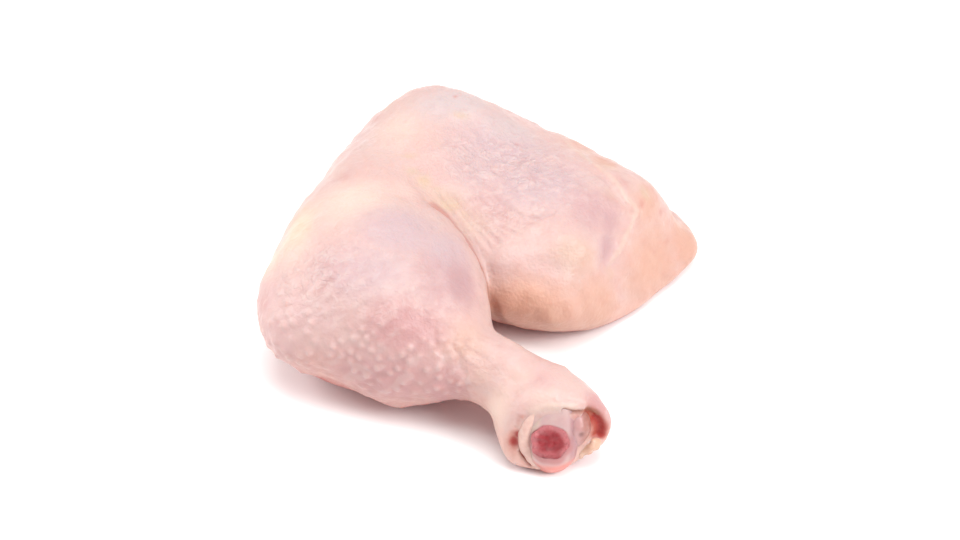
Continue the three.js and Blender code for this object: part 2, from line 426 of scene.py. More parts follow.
# A fold follows the skin: the places it passes, its width, and its height, which is below zero
# for a crease. It fades at both ends.
HIP_RIDGE = dict(
    places=[(21, 49.5, 27), (28.2, 37.8, 32.5), (34.4, 28.2, 34), (40.6, 18.4, 32.5),
            (44.4, 16.8, 28), (42, 10.4, 24.8), (38.7, 4.3, 22.6), (35, -3, 20.5)],
    width=1.1,
    height=0.5,
)
HIP_GROOVE = dict(
    places=[(29.5, 31, 33.8), (36, 21, 34), (41.6, 15, 29.5), (39.8, 8.8, 26.4),
            (36.8, 3, 24.4), (33.6, -3, 22.6)],
    width=2.6,
    height=-0.9,
)
CROTCH_CREASE = dict(
    places=[(-17.5, 10, 40.1), (-13.1, 7.3, 38.5), (-9.7, 4.6, 37.2), (-6.7, 1.7, 35.6),
            (-3.9, -1.8, 34), (-1.4, -6.7, 32), (0.6, -11.1, 29.3)],
    width=1.0,
    height=-0.7,
)
FAN = [
    dict(places=places, width=width, height=-0.6 * width)
    for width, places in zip(
        (0.85, 0.7, 0.95, 0.7, 0.85, 0.7, 0.95, 0.7, 0.8),
        between(
            [(-12.1, 13.5, 38), (-7, 7.8, 35.5), (-2.2, 1.2, 32.3), (1.6, -5.4, 28.8)],
            [(2, 17, 36), (8, 9.5, 35), (15, 6, 34.6), (22, 8, 34.2)],
            9,
        ),
    )
]
CALF_WRINKLES = [
    dict(places=places, width=1.1, height=-0.25)
    for places in (
        [(-40.8, -36.7, 31.5), (-37.8, -34.1, 35.6), (-34.6, -30.4, 39.5)],
        [(-48.2, -35, 29.9), (-45.4, -32.9, 33.8), (-42.7, -29.9, 37.2)],
        [(-35.9, -38.4, 31.3), (-32.7, -35.6, 36), (-28.7, -32.6, 39.3)],
        [(-44.1, -30.2, 36.4), (-40.1, -27.7, 39.5), (-36.6, -26.1, 41.4)],
        [(-51, -27.8, 34.2), (-48.4, -24.8, 37.3), (-45.2, -22.1, 39.9)],
        [(-31.3, -38.5, 33.3), (-27, -35.8, 37.3), (-22.5, -33.5, 39.5)],
        [(-38.8, -23.5, 41.9), (-34.8, -21.5, 43.7), (-30.6, -20.2, 44.7)],
    )
]
NECK_CREASES = [
    dict(places=[(-10.6, -42, 29.3), (-8.8, -44.8, 23.8), (-7.5, -45.4, 16.9)], width=1.3, height=-0.4),
    dict(places=[(-6.1, -40.7, 29.4), (-4.5, -44.5, 24.3), (-2.7, -46.7, 18.2)], width=1.2, height=-0.35),
    dict(places=[(-0.5, -43.4, 26.1), (4, -44.2, 26.5), (8.5, -44, 26.8), (12.8, -43.4, 26.5)],
         width=0.8, height=-0.15),
    dict(places=[(8, -47, 26), (9, -50.4, 24.9), (10.3, -54.3, 24.3)], width=1, height=-0.15),
]
CUT_GAP = dict(
    places=[on_cut(26.8, 20), on_cut(29.2, 19), on_cut(31.2, 16.6), on_cut(31.9, 13.4),
            on_cut(31.3, 9.8)],
    width=2.4,
    height=-2.1,
)
CUT_SLIT = dict(places=[on_cut(21, 22.6), on_cut(24.4, 21.2), on_cut(28.4, 20.6)],
                width=0.55, height=-0.7)
CUT_RIM = dict(
    places=[on_cut(12.4, 20.8), on_cut(15, 22.8), on_cut(19, 23.5), on_cut(23, 22.9), on_cut(27, 22.2)],
    width=0.9,
    height=0.4,
)
CUT_GROOVE = dict(places=[on_cut(10.6, 10), on_cut(11.6, 7), on_cut(13.8, 3)],
                  width=0.65, height=-1.2)
CUT_DENT = dict(places=[on_cut(8.9, 16.5), on_cut(9.6, 18.6), on_cut(11, 20)], width=0.9, height=-0.35)
# Folds that waver as loose skin does, and folds that run as drawn.
LOOSE_FOLDS = [HIP_RIDGE, HIP_GROOVE, CROTCH_CREASE, *CALF_WRINKLES, *NECK_CREASES]
TAUT_FOLDS = [*FAN, CUT_GAP, CUT_SLIT, CUT_RIM, CUT_GROOVE, CUT_DENT]

# Soft swellings and dips of the skin: place, reach, height.
SWELLINGS = [
    ((26.4, -2, 31), (10, 6, 6), 1.4), ((36.5, 5, 28), (4, 8, 6), -0.6),
    ((14, 3, 33.5), (10, 7, 8), -0.7), ((-4.1, -24, 36), (5, 7, 5), -0.5),
    ((10.8, -42, 26), (6, 6, 6), 0.4), ((12.5, -50, 25), (4, 4, 4), -0.3),
    ((62.3, 26.5, 6.5), (3, 5, 4), 0.6), (on_cut(9.3, 6.5), (2.6, 4, 2.8), 0.9),
    (on_cut(9, 13), (1.7, 4, 3.2), -0.9),
]
RIPPLES = [(18, 0.22, 3), (7, 0.1, 5)]  # wavelength, height, seed
RIPPLES_END = (2, 8)  # how far from the knuckle's cut the ripples start and are full
RELIEF_RISE = 4  # how far above the table the relief is full

# Where the skin is finely wrinkled: which way the creases run and how drawn out they are, their
# wavelength and depth, and the patches they cover.
WRINKLED = [
    dict(direction=(16, 12, 8), stretch=2.6, wavelength=9, depth=0.17, seed=41,
         patches=[((-42, -27, 35), (14, 13, 11), 1.0), ((-20, -31, 38), (11, 8, 8), 0.5)]),
    dict(direction=(13, -20, -9), stretch=4, wavelength=7, depth=0.1, seed=42,
         patches=[((3, 7, 34), (13, 11, 7), 1.0)]),
    dict(direction=(20, -9, 0), stretch=4, wavelength=6, depth=0.15, seed=43,
         patches=[((-2, -41, 26), (12, 8, 9), 1.0), ((14, -50, 25), (8, 7, 5), 0.5)]),
    dict(direction=(1, 0, 0), stretch=1, wavelength=7, depth=0.15, seed=44,
         patches=[((10, 24, 37), (20, 16, 10), 1.0), ((-9, 42, 42), (13, 12, 8), 0.5),
                  ((-36, 50, 18), (22, 18, 16), 1.0), ((20, 56, 20), (30, 12, 14), 1.0)]),
]

# Where it lies in soft furrows, drawn out in the same way.
FURROWED = [
    dict(direction=(16, 12, 8), stretch=2.2, wavelength=4.4, height=0.15, seed=47,
         patches=[((-42, -26, 36), (14, 13, 11), 1.0), ((-20, -31, 38), (11, 8, 8), 0.6),
                  ((-26, -42, 22), (28, 12, 16), 0.7)]),
    dict(direction=(1, 0, 0), stretch=1, wavelength=3.4, height=0.07, seed=48,
         patches=[((10, 24, 37), (20, 16, 10), 1.0)]),
]

# Where the skin is as fine and loose as crepe: place, reach, strength.
CREPE = [
    ((-42, -22, 38), (14, 14, 12), 0.9), ((-22, -34, 36), (14, 8, 8), 0.5),
    ((8, 27, 37), (26, 15, 12), 1.0), ((4, 7, 34), (12, 10, 8), 0.7), ((0, -44, 25), (14, 8, 9), 0.4),
    ((-22, 34, 40), (14, 14, 10), 0.3), ((-52, 18, 20), (12, 20, 14), 0.6),
    ((-30, 54, 18), (18, 12, 14), 0.8), ((10, 58, 22), (24, 10, 14), 0.8),
    ((44, 40, 16), (16, 14, 12), 0.6),
]


def creases(points, area):
    """1 along the creases of one finely wrinkled area."""
    drawn_out = combed(points, area["direction"], area["stretch"])
    net = crease_net(drawn_out, area["wavelength"], area["seed"])
    return net * most_of(points, area["patches"])


def furrows(points, area):
    """The furrows of one area, from below zero in their valleys to above zero on the ridges."""
    drawn_out = combed(points, area["direction"], area["stretch"])
    return ripple(drawn_out, area["wavelength"], area["seed"]) * most_of(points, area["patches"])


VALLEY_SHARE = 0.6  # how strongly a furrow's valley counts as a crease


def crease_shade_mask(points):
    """Where the skin gets painted crease shade: along the nets, the fan and the furrows' valleys."""
    deepest = max(area["depth"] for area in WRINKLED)
    highest = max(area["height"] for area in FURROWED)
    nets = [area["depth"] / deepest * creases(points, area) for area in WRINKLED]
    fans = [fold["width"] * stroke(points, fold["places"], fold["width"]) for fold in FAN]
    valleys = [-VALLEY_SHARE * area["height"] / highest * furrows(points, area)
               for area in FURROWED]
    return np.max([*nets, *fans, *valleys], axis=0)


def skin_relief(points):
    """How far the skin stands out from the muscles' field."""
    relief = np.zeros(len(points))
    uneven = crumpled(points)
    for fold in LOOSE_FOLDS:
        relief += fold["height"] * stroke(uneven, fold["places"], fold["width"])
    for fold in TAUT_FOLDS:
        relief += fold["height"] * stroke(points, fold["places"], fold["width"])
    for at, reach, height in SWELLINGS:
        relief += height * patch(points, at, reach)
    for area in WRINKLED:
        relief -= area["depth"] * creases(points, area)
    for area in FURROWED:
        relief += area["height"] * furrows(points, area)
    above_table = smooth_step(points[:, 2], TABLE, TABLE + RELIEF_RISE)
    before_cut = smooth_step(-flat_cut(points, **KNUCKLE_CUT), *RIPPLES_END)
    for wavelength, height, seed in RIPPLES:
        relief += height * ripple(points, wavelength, seed) * before_cut
    return relief * above_table


# The front, the top and the hip end have a finer mesh, and the cut end one that is finer still.
FINE_ABOVE = 2.5
FRONT_ENDS = 6
TOP_STARTS = 24
HIP = dict(starts=18, ends=24)
FINER_FROM_CUT = 5


def fine_zone(middles):
    """All but the underside and the back: where wrinkles, folds and goose bumps show."""
    x, y, z = middles.T
    hip = (x > HIP["starts"]) & (y < HIP["ends"])
    return (z > FINE_ABOVE) & ((y < FRONT_ENDS) | (z > TOP_STARTS) | hip)


def finer_zone(middles):
    return flat_cut(middles, **KNUCKLE_CUT) > -FINER_FROM_CUT


# ---- Nodes ----


def join(tree, value, socket):
    """Joins an output to the socket, or sets the socket to a plain value."""
    if hasattr(value, "links"):
        tree.links.new(value, socket)
    else:
        socket.default_value = value


def add_node(tree, kind, inputs, **settings):
    """Adds a node with the given inputs, each an output or a plain value, and gives its outputs."""
    node = tree.nodes.new(kind)
    for name, value in settings.items():
        setattr(node, name, value)
    for socket, value in inputs.items():
        join(tree, value, node.inputs[socket])
    return node.outputs


# ---- Tones of the skin ----

# Where feather follicles stand out: large goose bumps on the calf, small pimples on the thigh, and low
# bumps round the back. Each kind has its places, its sizes, the tint of its tops, and the swelling at
# which the tint starts, the swelling at which it is full, and its share there. The paler tops are partly
# the follicles' own colour and partly painted highlight.
BUMPS = {
    "goose bumps": dict(
        patches=[
            ((-26, -42, 24), (24, 12, 13), 1.0), ((-48, -31, 24), (14, 14, 13), 0.9),
            ((-8, -45, 20), (8, 8, 8), 0.7), ((-42, -22, 38), (14, 12, 9), 0.35),
        ],
        sizes=dict(Spacing=2.6, Radius=1.0, Height=0.65, Seed=4),
        tint=(258, 222, 216),
        shows=(0.1, 1, 0.5),
    ),
    "pimples": dict(
        patches=[
            ((17, 13, 36), (12, 10, 8), 1.0), ((6, 32, 37), (14, 11, 8), 0.6),
            ((4, 8, 34), (9, 9, 8), 0.5),
        ],
        sizes=dict(Spacing=2.4, Radius=0.75, Height=0.3, Seed=9),
        tint=(253, 226, 222),
        shows=(0.3, 1.1, 0.4),
    ),
    "low bumps": dict(
        patches=[
            ((-50, 24, 18), (12, 16, 12), 0.8), ((-28, 52, 18), (16, 12, 14), 1.0),
            ((8, 58, 20), (20, 10, 12), 0.8), ((38, 42, 16), (16, 12, 12), 0.7),
        ],
        sizes=dict(Spacing=3.4, Radius=1.9, Height=0.6, Seed=14),
        tint=(262, 226, 216),
        shows=(0.2, 1.1, 0.4),
    ),
}

# Each tone has its tint, as the studio shows it on level skin, and the patches (place, reach, strength)
# and strokes (places, width) where it lies. They are laid in this order. Tints above 255 are for skin
# that shows as white, and are painted light where the skin slopes away from the lamps.
TONES = {
    "pale": dict(tint=(281, 246, 229), patches=[
        ((-36, 2, 44), (15, 15, 12), 0.75), ((-45, 25, 34), (12, 16, 12), 0.35),
        ((-51, -7, 37), (10, 13, 12), 0.7), ((-23, 40, 40), (11, 14, 10), 0.6),
        ((-21, 9, 42), (8, 8, 8), 0.4), ((5, -53, 18), (5, 6, 8), 0.8),
        ((16, -56, 25), (7, 4, 4), 0.4), ((0, -46, 22), (5, 5, 6), 0.4),
        ((-4, -40, 28), (8, 7, 6), 0.4), ((10, -49, 26), (8, 6, 5), 0.4),
    ]),
    "pale pink": dict(tint=(262, 217, 213), patches=[
        ((-58, -22, 30), (6, 10, 10), 1.0), ((-56, -33, 25), (9, 9, 10), 1.0),
        ((-51, -30, 32), (8, 10, 8), 0.5),
    ]),
    "yolky": dict(tint=(286, 250, 218),
                  patches=[((-50, -2, 38), (6, 13, 9), 0.7), ((-56, -10, 30), (5, 9, 8), 0.6)]),
    "peach": dict(tint=(252, 196, 174), patches=[
        ((14, -14, 14), (24, 8, 12), 1.0), ((32, -9, 14), (16, 10, 13), 1.0),
        ((52, 8, 14), (15, 19, 14), 1.0), ((60, 25, 9), (9, 12, 12), 1.0),
        ((48, 21, 26), (9, 10, 8), 0.8), ((36, 33, 31), (6, 8, 6), 0.8),
        ((28, 43, 29), (6, 8, 6), 0.6),
    ]),
    # Painted light: a warm glow that lifts the steep lower front wall of the thigh.
    "painted glow": dict(tint=(276, 216, 190), patches=[((12, -13, 18), (14, 6, 10), 1.0)]),
    "cream": dict(tint=(252, 216, 198), patches=[
        ((-9.5, 11, 36.8), (7, 5, 5), 0.9), ((-1.5, 5.5, 33.5), (6, 6, 5), 0.8),
        ((-17, 17, 40), (5, 4, 4), 0.5), ((26, -4, 30), (8, 5, 6), 0.8),
    ]),
    "warm": dict(tint=(252, 204, 184), patches=[
        ((0, -45, 24), (6, 6, 6), 0.5), ((37, 16, 33.5), (3, 4, 3), 0.6),
        ((-5, -39, 30), (8, 7, 6), 0.8), ((28, -4, 28), (8, 5, 5), 0.6),
        ((8, -51, 25), (6, 6, 4), 0.3),
    ]),
    "lilac": dict(tint=(241, 208, 210), patches=[
        ((7, 33, 37), (18, 12, 12), 1.0), ((0, 24, 37), (12, 12, 9), 0.7),
        ((16, 20, 36), (16, 13, 11), 1.0), ((-21, -12, 45), (14, 11, 9), 1.0),
        ((-9, -17, 41), (9, 11, 9), 1.0), ((-30, -25, 42), (17, 11, 9), 0.8),
        ((-42, -32, 34), (12, 9, 9), 0.4),
    ]),
    "pale lilac": dict(tint=(243, 222, 221),
                       patches=[((-8, 47, 43), (16, 9, 8), 0.8), ((7, 42, 38), (13, 7, 8), 0.7)]),
    "deep lilac": dict(tint=(234, 187, 188), patches=[
        ((31, 10, 33.5), (9, 9, 7), 0.75), ((36, 10, 31), (5, 9, 7), 0.75),
        ((36, 3, 26), (4, 7, 6), 0.8), ((-13, -24, 42), (7, 7, 6), 0.6),
        ((-5, -24, 37), (8, 9, 7), 0.9), ((-12, -30, 38), (10, 6, 6), 0.6),
        ((3, 10, 34), (6, 9, 7), 0.4),
    ]),
    "rosy": dict(tint=(240, 183, 181), patches=[
        ((-20, -39, 34), (14, 7, 10), 1.0), ((-37, -24, 42), (9, 9, 7), 0.3),
        ((-26, -44, 20), (26, 12, 13), 0.9), ((-10, -45, 18), (9, 8, 10), 1.0),
        ((-46, -37, 20), (14, 12, 10), 0.5), ((16.6, -51.2, 27), (4, 3.5, 4), 0.5),
        ((32.6, -54.5, 21), (3, 4, 3), 0.5), ((31, -54, 20), (4, 5, 5), 1.0),
        ((34, -52, 16), (4, 5, 5), 0.8),
    ]),
    "mauve": dict(tint=(220, 176, 178), patches=[
        ((-5.5, -24, 37), (6, 8, 6), 0.45), ((-11, -28, 39), (6, 6, 5), 0.35),
        ((7, -10.5, 21), (5, 5, 7), 0.25), ((37, 7, 27.5), (2.5, 8, 5), 0.25),
    ]),
    "pale ridge": dict(
        tint=(258, 226, 210),
        strokes=[(HIP_RIDGE["places"], 0.9), (CUT_RIM["places"], 1.3)],
        most=0.65,
    ),
    "blush": dict(tint=(236, 160, 148), patches=[
        ((41.3, 22.1, 32.7), (2.5, 3, 2.5), 0.35), ((46.3, 19.3, 27.6), (1.8, 2.2, 1.8), 0.5),
        ((52.2, 23.2, 21.7), (1.1, 1.3, 1.3), 0.5), (on_cut(25.2, 19.6), (2, 2.5, 1.4), 0.7),
        ((54.2, 19.2, 13.6), (1.2, 1.4, 1.2), 0.4), ((50.4, 14.5, 13.9), (1.2, 1.4, 1.2), 0.4),
        ((23.8, 39.4, 33), (0.8, 0.8, 0.8), 0.5), ((10.7, 35.4, 36.6), (1, 1, 1), 0.5),
        ((-7.3, 49.7, 43.4), (0.9, 0.9, 0.9), 0.5), ((-30.9, 51.1, 33.4), (3.5, 4.5, 3.5), 0.3),
        ((-38, 17, 39.5), (4, 4, 3), 0.35), ((-6.9, -45.4, 21.4), (1.5, 1.5, 1.5), 0.5),
        ((-59.3, -21.8, 28.7), (3, 5, 5), 0.4),
    ]),
    # Painted shade along the crease between the thigh and the calf.
    "crease": dict(
        tint=(226, 158, 148),
        strokes=[([(-14.6, 9.7, 39.1), (-11.3, 7.6, 37.7), (-8.4, 5.1, 36.3), (-5.6, 2.3, 34.8),
                   (-2.8, -1.2, 33.1), (-0.3, -6.1, 31.1), (1.7, -10.5, 28.4)], 1.7)],
        most=0.75,
    ),
    # Painted shade down the deep crease between the thigh and the calf, to the table.
    "deep crease shade": dict(
        tint=(200, 130, 110),
        patches=[((7.5, -9, 9), (5, 3, 4), 0.4)],
        strokes=[([(-0.3, -6.1, 31.1), (2.2, -10.6, 25.6), (3.8, -12.8, 20), (5.2, -11.8, 14),
                   (6.5, -9.3, 8.6), (8, -7, 4)], 1.6)],
        most=0.65,
    ),
    "yellow fat": dict(
        tint=(250, 216, 187),
        patches=[
            ((-15.5, 15.4, 39.4), (3, 2.6, 2), 0.8), ((-12, 14, 38.5), (2, 1.6, 2), 0.5),
            ((-8, 9.8, 36), (3.4, 2.6, 3), 0.9), ((-5, 8, 34.7), (2.4, 2, 2), 0.6),
            ((-19.4, 19.2, 40.9), (2.4, 2, 2), 0.6), ((-51, -2, 37), (4, 7, 5), 0.4),
            ((-56.5, -14, 27), (3, 5, 4), 0.4), ((47, 24, 28), (4, 3, 3), 0.6),
            ((37, 30, 31), (3, 3, 3), 0.6), ((31, 40, 29.5), (3, 3, 3), 0.5),
            ((38, -1, 20), (2.5, 3, 2.5), 0.5), ((-5.2, 42.1, 42.3), (3.4, 1.5, 2), 0.6),
            ((-19.8, 25, 41.3), (2.8, 1.6, 2), 0.6), ((-12.3, 30.4, 40.7), (1.4, 1.4, 1.4), 0.4),
            ((-27.1, 54.2, 35.8), (3, 3, 3), 0.35),
        ],
        uneven=0.6,
    ),
    # The raw tone is the flesh's own colour in the hollow and along the gap; its two small patches over
    # the hollow are painted shade under the cut's rim.
    "raw": dict(
        tint=(214, 100, 72),
        patches=[
            (on_cut(8.9, 13), (2.1, 3, 4), 0.7), (on_cut(10, 18.8), (1, 3, 2.2), 0.35),
            (on_cut(11.2, 20.6), (2.2, 3, 0.9), 0.35),
        ],
        strokes=[(CUT_GAP["places"], 2.9)],
        uneven=0.5,
    ),
    "bloody": dict(
        tint=(198, 28, 14),
        patches=[(on_cut(10, 14.6), (1, 3, 1.5), 1.0), (on_cut(9, 12.1), (1.5, 3, 1.5), 1.0)],
        strokes=[
            ([on_cut(29.4, 18.6), on_cut(31.8, 16.7), on_cut(32.8, 13.4), on_cut(32.4, 9.8)], 2.0),
            (CUT_GROOVE["places"], 0.4),
        ],
        uneven=0.6,
        most=0.9,
    ),
    "dried": dict(
        tint=(196, 120, 94),
        strokes=[
            (CUT_SLIT["places"], 0.8),
            ([on_cut(27.4, 21.4), on_cut(30.6, 20.6), on_cut(32.6, 18.6)], 1.0),
        ],
        uneven=0.4,
        most=0.8,
    ),
}

# Tones painted by how the skin turns: the side tone is painted light that lifts and warms skin turning
# away from the lamps, and the underside tone is darker red, partly the raw meat's own colour and partly
# painted shade. Each has its tint, and the turn from which it starts and where it is full, as the height
# of the skin's normal.
PAINTED_LIGHT_AND_RAW_TONES = {
    "side": dict(tint=(268, 216, 202), turn=(0.45, -0.1)),
    "underside": dict(tint=(228, 80, 70), turn=(-0.3, -0.95)),
}


def tone_mask(points, tone):
    strokes = [stroke(points, places, width) for places, width in tone.get("strokes", [])]
    return np.max([most_of(points, tone.get("patches", [])), *strokes], axis=0)


FOLLICLES_AT_MOST = 1.5  # to a square millimetre, before their spacing thins them
FOLLICLE_SIZES = (0.7, 1.2)
FULL_BUMPS_FROM = 0.625  # the mask at which the bumps are full


def bumpy_skin(material, mask):
    """Skin with a bump at each follicle: points spread evenly but not regularly where the mask
    is strong. The bumps' own swelling is kept as an attribute, named after the mask."""
    tree = bpy.data.node_groups.new(mask, "GeometryNodeTree")
    for name, kind in (("Skin", "NodeSocketGeometry"), ("Spacing", "NodeSocketFloat"),
                       ("Radius", "NodeSocketFloat"), ("Height", "NodeSocketFloat"),
                       ("Seed", "NodeSocketInt")):
        tree.interface.new_socket(name, in_out="INPUT", socket_type=kind)
    tree.interface.new_socket("Skin", in_out="OUTPUT", socket_type="NodeSocketGeometry")

    def node(kind, inputs, **settings):
        return add_node(tree, kind, inputs, **settings)

    def calculate(operation, *values):
        return node("ShaderNodeMath", dict(enumerate(values)), operation=operation)[0]

    given = node("NodeGroupInput", {})
    bumpy = node("GeometryNodeInputNamedAttribute", {"Name": mask}, data_type="FLOAT")["Attribute"]
    follicles = node(
        "GeometryNodeDistributePointsOnFaces",
        {"Mesh": given["Skin"], "Distance Min": given["Spacing"], "Seed": given["Seed"],
         "Density Max": FOLLICLES_AT_MOST, "Density Factor": bumpy},
        distribute_method="POISSON",
    )["Points"]
    sizes = node("FunctionNodeRandomValue", dict(zip((2, 3), FOLLICLE_SIZES)))[1]
    nearest = node("GeometryNodeSampleNearest", {"Geometry": follicles}, domain="POINT")["Index"]
    own_size = node("GeometryNodeSampleIndex",
                    {"Geometry": follicles, "Value": sizes, "Index": nearest}, data_type="FLOAT")[0]
    away = node("GeometryNodeProximity", {"Geometry": follicles}, target_element="POINTS")["Distance"]
    share = calculate("DIVIDE", away, given["Radius"])
    swell = calculate("EXPONENT", calculate("MULTIPLY", calculate("MULTIPLY", share, share), -1))
    swell = calculate("MULTIPLY", swell, own_size)
    strength = calculate("MINIMUM", calculate("DIVIDE", bumpy, FULL_BUMPS_FROM), 1)
    swell = calculate("MULTIPLY", swell, strength)

    normal = node("GeometryNodeInputNormal", {})[0]
    height = calculate("MULTIPLY", swell, given["Height"])
    rise = node("ShaderNodeVectorMath", {0: normal, "Scale": height}, operation="SCALE")[0]
    kept = node("GeometryNodeStoreNamedAttribute",
                {"Geometry": given["Skin"], "Name": mask + " swelling", "Value": swell},
                data_type="FLOAT", domain="POINT")[0]
    moved = node("GeometryNodeSetPosition", {"Geometry": kept, "Offset": rise})[0]
    whole = node("GeometryNodeRealizeInstances", {0: moved})[0]
    covered = node("GeometryNodeSetMaterial", {"Geometry": whole, "Material": material})[0]
    node("NodeGroupOutput", {0: covered})
    return tree


def with_nodes(mesh, tree, sizes):
    """The plain mesh that a Geometry Nodes tree makes of a mesh."""
    carrier = bpy.data.objects.new("carrier", mesh)
    bpy.context.scene.collection.objects.link(carrier)
    modifier = carrier.modifiers.new("nodes", "NODES")
    modifier.node_group = tree
    sockets = {item.name: item.identifier for item in tree.interface.items_tree
               if item.in_out == "INPUT"}
    for name, value in sizes.items():
        modifier[sockets[name]] = value
    evaluated = carrier.evaluated_get(bpy.context.evaluated_depsgraph_get())
    made = bpy.data.meshes.new_from_object(evaluated)
    bpy.data.objects.remove(carrier)
    return made


def skin_piece(material):
    room = (-66, -66, -1.5), (68, 73, 49)
    mesh = solid_mesh("skin", leg_field, *room, MESH_STEP, (fine_zone, finer_zone))
    points = mesh_points(mesh)
    normals = field_slope(leg_field, points)
    normals /= np.linalg.norm(normals, axis=1)[:, None]
    for name, bumps in BUMPS.items():
        add_mask(mesh, name, most_of(points, bumps["patches"]))
    add_mask(mesh, "crepe", most_of(points, CREPE))
    # Masks for painted shade in the creases and painted light on the furrows' ridges.
    add_mask(mesh, "creases", crease_shade_mask(points))
    add_mask(mesh, "ridges", np.max([furrows(points, area) for area in FURROWED], axis=0))
    # Masks for the tones painted by the skin's turn: painted light on the sides, and painted shade over
    # the raw red of the underside.
    for name, tone in PAINTED_LIGHT_AND_RAW_TONES.items():
        start, full = tone["turn"]
        add_mask(mesh, name, smooth_step(-normals[:, 2], -start, -full))
    for name, tone in TONES.items():
        add_mask(mesh, name, tone_mask(points, tone))
    set_points(mesh, points + normals * skin_relief(points)[:, None])
    for name, bumps in BUMPS.items():
        mesh = with_nodes(mesh, bumpy_skin(material, name), bumps["sizes"])
    return add_piece("skin", mesh, material, "skin", "skin_and_meat")


# ---- The cut end ----

CUT_STEP = 0.32
BONE_STEP = 0.42
MARROW_STEP = 0.25
MARROW_RECESS = 0.02
STAIN_DRIP = (0, 0, 1.3)  # how far the stain round the marrow has run down the cap


def marrow_field(points, grow=0.0):
    half = tuple(size + grow for size in MARROW["half"])
    return ellipsoid(points, MARROW["at"], half) + 0.22 * ripple(points, 4.5, 34)


def bone_field(points):
    bone = smooth_min(cap_field(points), tapered_rod(points, **SHAFT), 4)
    bone = bone + 0.1 * ripple(points, 6, 22)
    bone = smooth_max(bone, -marrow_field(points), 0.2)
    return smooth_max(bone, TABLE - points[:, 2], 1)


def bone_piece(material):
    mesh = solid_mesh("bone", bone_field, (-28, -66, -1), (30, -10, 29), BONE_STEP)
    points = mesh_points(mesh)
    x, y, z = points.T
    add_mask(mesh, "stained", 1 - smooth_step(marrow_field(points + STAIN_DRIP), -0.2, 2.4))
    add_mask(mesh, "bloody", 1 - smooth_step(marrow_field(points), -0.3, 1.1))
    # Painted shade: the cap turns rosier and darker towards its bottom, which faces down.
    add_mask(mesh, "rosy", smooth_step(-z, -9, -4))
    add_mask(mesh, "mauve", smooth_step(x, 22.5, 25))
    add_mask(mesh, "cream", 1 - smooth_step(x - 0.15 * (z - 12), 13.2, 16))
    return add_piece("bone", mesh, material, "cartilage", "shin_bone")


def marrow_piece(material):
    def field(points):
        surface = flat_cut(points, **SLICE) + MARROW_RECESS + 0.12 * ripple(points, 2.2, 31)
        return smooth_max(marrow_field(points, 0.3), surface, 0.25)

    mesh = solid_mesh("marrow", field, (11, -67, 7), (26, -55, 21), MARROW_STEP)
    points = mesh_points(mesh)
    edge = smooth_step(marrow_field(points), -2.5, 0)
    add_mask(mesh, "edge", edge * (0.3 + 0.7 * smooth_step(points[:, 2], 9.5, 13)))
    return add_piece("marrow", mesh, material, "marrow", "bone_marrow")


def strand_field(points, places, radius, uneven, seed):
    distance, share = nearest_on(curve_through(places), points)
    taper = 0.4 + 0.6 * np.sin(math.pi * share) ** 0.7
    return distance - radius * taper + uneven * ripple(points, 3, seed)


TENDON = dict(
    places=[(13.8, -57.6, 21.2), (12.6, -58.0, 17.6), (12, -58.4, 14), (12.2, -58.8, 10.6),
            (13.5, -59.2, 6.9), (15.5, -59.4, 2.8)],
    radius=2.05,
    uneven=0.08,
    seed=51,
)


def tendon_piece(material):
    mesh = solid_mesh("tendon", lambda points: strand_field(points, **TENDON),
                      (8, -64, 0), (18, -55, 24), CUT_STEP)
    return add_piece("tendon_strand", mesh, material, "tendon", "tendon")


# The meat is cut flat, a little behind the cap.
CUT_MEAT = dict(at=(25.7, -55.1, 14.4), half=(3.8, 5.2, 5.7))
MEAT_FACE = dict(out=(0.1, -0.98, 0.12), reach=64.4)
MEAT_DOT = (26.8, -59.8, 15.3)


def cut_meat_piece(material):
    def field(points):
        whole = ellipsoid(points, **CUT_MEAT) + 0.2 * ripple(points, 5, 61)
        face = flat_cut(points, **MEAT_FACE) + 0.12 * ripple(points, 2.5, 62)
        return smooth_max(whole, face, 1.5) + 0.4 * patch(points, MEAT_DOT, 0.9)

    mesh = solid_mesh("cut_meat", field, (20, -62, 7), (34, -48, 23), CUT_STEP)
    points = mesh_points(mesh)
    add_mask(mesh, "dot", patch(points, MEAT_DOT, 0.9))
    add_mask(mesh, "lilac", 1 - smooth_step(points[:, 0], 25, 29))
    return add_piece("meat_slice", mesh, material, "meat", "cut_meat")


FAT_LOBULES = [
    ((26.4, -56.9, 5.8), 1.8), ((28, -57.1, 7.3), 1.9), ((29.8, -56.8, 8.7), 2.1),
    ((31.3, -56.2, 9.3), 1.3),
]


def cut_fat_piece(material):
    def field(points):
        fat = np.full(len(points), 1e3)
        for at, radius in FAT_LOBULES:
            fat = smooth_min(fat, np.linalg.norm(points - at, axis=1) - radius, 1.0)
        return fat + 0.15 * ripple(points, 2.5, 71)

    mesh = solid_mesh("cut_fat", field, (23, -61, 2), (36, -52, 15), CUT_STEP)
    return add_piece("fat_lobules", mesh, material, "fat", "cut_fat")


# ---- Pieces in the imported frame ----


def add_piece(name, mesh, material, slot, *nodes):
    """Takes a mesh from the leg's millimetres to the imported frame's metres and hangs it there."""
    set_points(mesh, (mesh_points(mesh) + SHIFT) * MM)
    mesh.polygons.foreach_set("use_smooth", [True] * len(mesh.polygons))
    mesh.materials.clear()
    mesh.materials.append(material)
    piece = bpy.data.objects.new(name, mesh)
    bpy.context.scene.collection.objects.link(piece)
    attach(piece, "root")
    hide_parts(*nodes)
    return piece


def add_mask(mesh, name, values):
    """A value for each point, from 0 to 1, that a material reads by its name."""
    mask = mesh.attributes.new(name, "FLOAT", "POINT")
    mask.data.foreach_set("value", np.clip(values, 0, 1).astype(np.float32))


# ---- Materials ----

STUDIO_LIGHT = 1.9  # on a level surface, as a share of what shows white as pure white


